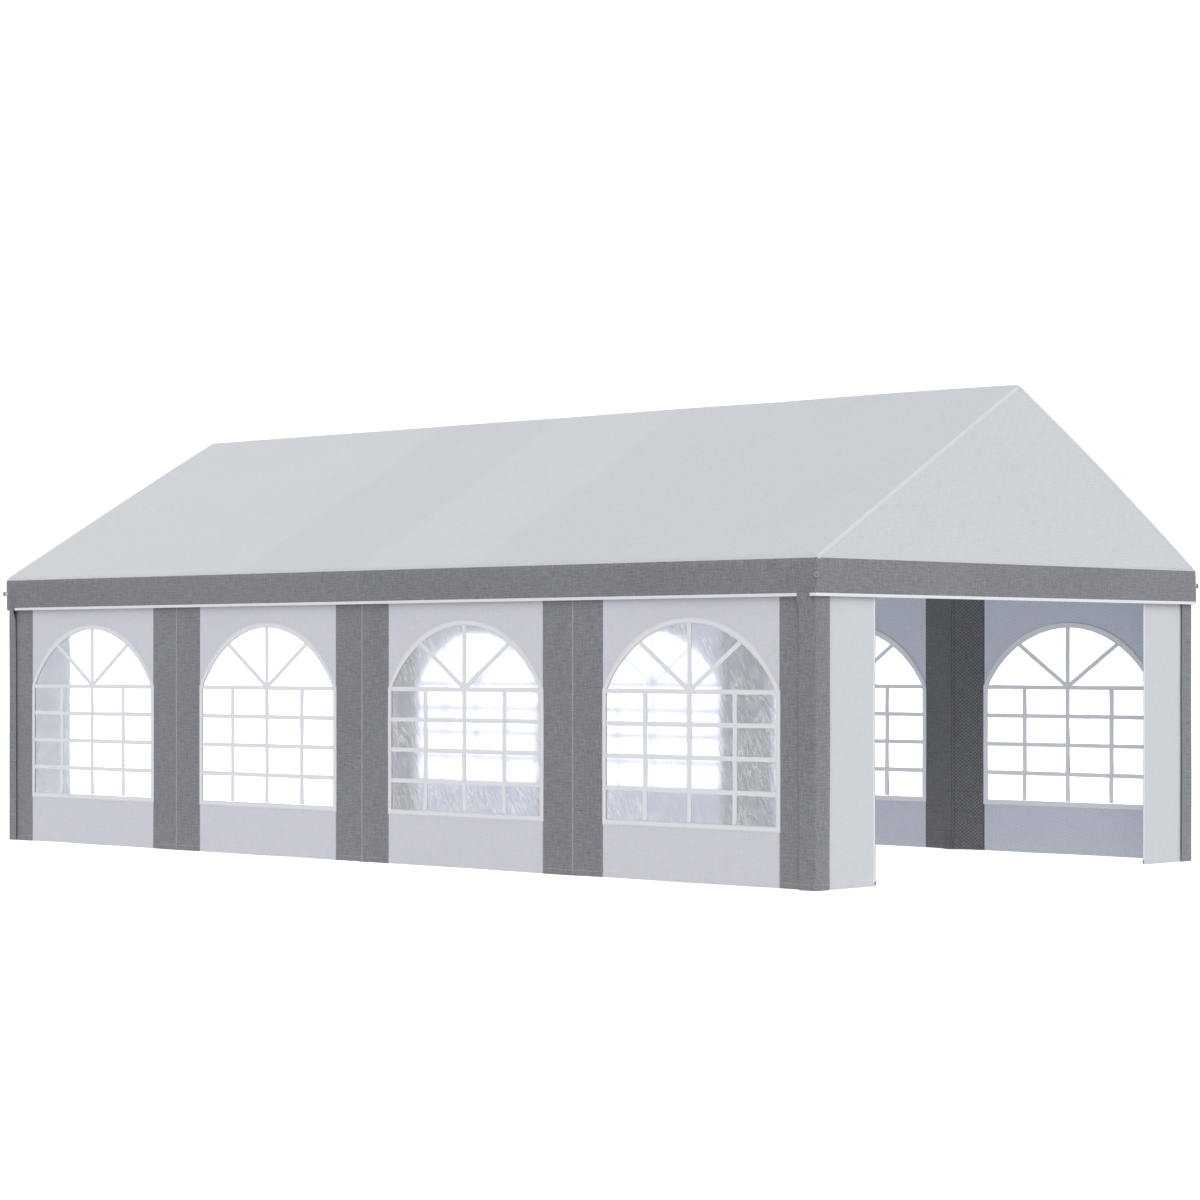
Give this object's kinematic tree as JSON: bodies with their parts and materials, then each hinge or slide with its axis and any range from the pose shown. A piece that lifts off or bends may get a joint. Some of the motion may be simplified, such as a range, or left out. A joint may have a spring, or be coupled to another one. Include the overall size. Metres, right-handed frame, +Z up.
{
  "type": "marquee tent",
  "caption": "Gabled party tent with a grey valance and corner sleeves, arched clear windows along both sides and an open doorway at each end, on a steel tube frame.",
  "frame": {"origin": "on the ground under the middle of the ridge, at the centre of the base", "axes": "+X along the ridge towards the right end, +Y towards the back long side, +Z up"},
  "size_m": [8.0852, 4.0852, 3.1274],
  "materials": {
    "white_cloth": "matt white woven polyethylene cloth",
    "grey_cloth": "matt grey woven polyethylene cloth",
    "clear_film": "clear soft window film, glossy",
    "steel_tube": "zinc-coated steel tube, dull light grey"
  },
  "bodies": {
    "root": {"wall_front_1": "white_cloth", "wall_front_2": "white_cloth", "wall_front_3": "white_cloth", "wall_front_4": "white_cloth", "window_front_1": "clear_film", "window_front_2": "clear_film", "window_front_3": "clear_film", "window_front_4": "clear_film", "roof_front": "white_cloth", "valance_front": "grey_cloth", "eave_rail_front": "steel_tube", "leg_front_1": "steel_tube", "leg_front_2": "steel_tube", "leg_front_3": "steel_tube", "leg_front_4": "steel_tube", "leg_front_5": "steel_tube", "wall_back_1": "white_cloth", "wall_back_2": "white_cloth", "wall_back_3": "white_cloth", "wall_back_4": "white_cloth", "window_back_1": "clear_film", "window_back_2": "clear_film", "window_back_3": "clear_film", "window_back_4": "clear_film", "roof_back": "white_cloth", "valance_back": "grey_cloth", "eave_rail_back": "steel_tube", "leg_back_1": "steel_tube", "leg_back_2": "steel_tube", "leg_back_3": "steel_tube", "leg_back_4": "steel_tube", "leg_back_5": "steel_tube", "door_strip_left_front": "white_cloth", "corner_sleeve_left_front": "grey_cloth", "door_strip_left_back": "white_cloth", "corner_sleeve_left_back": "grey_cloth", "gable_left": "white_cloth", "valance_left": "grey_cloth", "gable_bar_left": "steel_tube", "door_strip_right_front": "white_cloth", "corner_sleeve_right_front": "grey_cloth", "door_strip_right_back": "white_cloth", "corner_sleeve_right_back": "grey_cloth", "gable_right": "white_cloth", "valance_right": "grey_cloth", "gable_bar_right": "steel_tube", "rafter_pair_1": "steel_tube", "rafter_pair_2": "steel_tube", "rafter_pair_3": "steel_tube", "rafter_pair_4": "steel_tube", "rafter_pair_5": "steel_tube", "ridge_rail": "steel_tube"}
  },
  "joints": []
}
